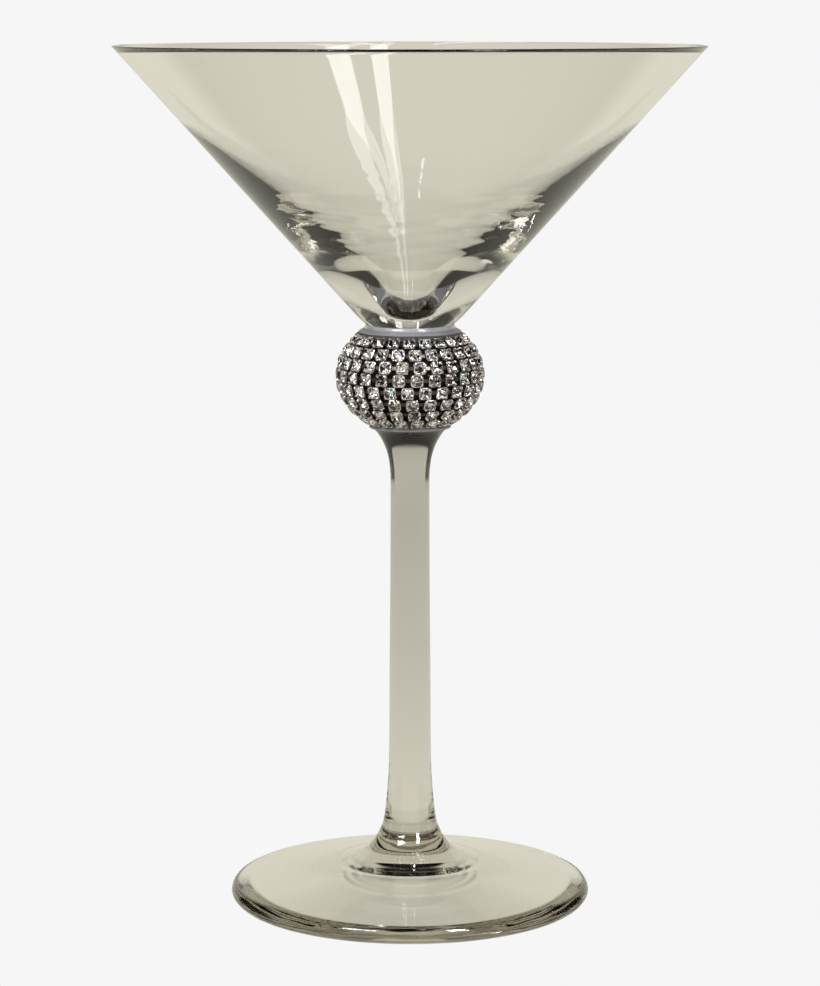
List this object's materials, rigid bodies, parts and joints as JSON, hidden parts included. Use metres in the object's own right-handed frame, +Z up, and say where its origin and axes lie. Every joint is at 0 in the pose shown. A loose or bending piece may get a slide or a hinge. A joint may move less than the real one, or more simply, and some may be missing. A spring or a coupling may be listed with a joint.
{
  "type": "martini glass",
  "caption": "Stemmed cocktail glass with a wide conical bowl and a crystal-set ball between bowl and stem.",
  "frame": {"origin": "centre of the foot's resting plane", "axes": "+Z up along the stem's axis, towards the bowl's rim; -Y is the side the picture shows"},
  "size_m": [0.1256, 0.1256, 0.185],
  "materials": {
    "clear_glass": "clear polished glass with a faint warm grey cast",
    "crystal": "clear faceted rhinestone with a foiled back",
    "bright_metal": "bright silver-coloured plating",
    "dark_backing": "dark mesh backing",
    "clear_cement": "thin clear cement, yellowed",
    "trim_metal": "smooth satin grey metal",
    "white_cement": "opaque white cement"
  },
  "bodies": {
    "root": {"bowl": "clear_glass", "knop": "clear_glass", "stem": "clear_glass", "foot": "clear_glass", "joint_pad": "white_cement", "bowl_bead": "clear_cement", "sleeve_backing": "dark_backing", "sleeve_cement": "clear_cement", "upper_trim_ring": "trim_metal", "lower_trim_ring": "trim_metal", "crystal_row_1": "crystal", "crystal_row_2": "crystal", "crystal_row_3": "crystal", "crystal_row_4": "crystal", "crystal_row_5": "crystal", "crystal_row_6": "crystal", "crystal_row_7": "crystal", "crystal_row_8": "crystal", "setting_row_1": "bright_metal", "setting_row_2": "bright_metal", "setting_row_3": "bright_metal", "setting_row_4": "bright_metal", "setting_row_5": "bright_metal", "setting_row_6": "bright_metal", "setting_row_7": "bright_metal", "setting_row_8": "bright_metal", "link_row_1": "bright_metal", "link_row_2": "bright_metal", "link_row_3": "bright_metal", "link_row_4": "bright_metal", "link_row_5": "bright_metal", "link_row_6": "bright_metal", "link_row_7": "bright_metal", "link_row_8": "bright_metal"}
  },
  "joints": []
}
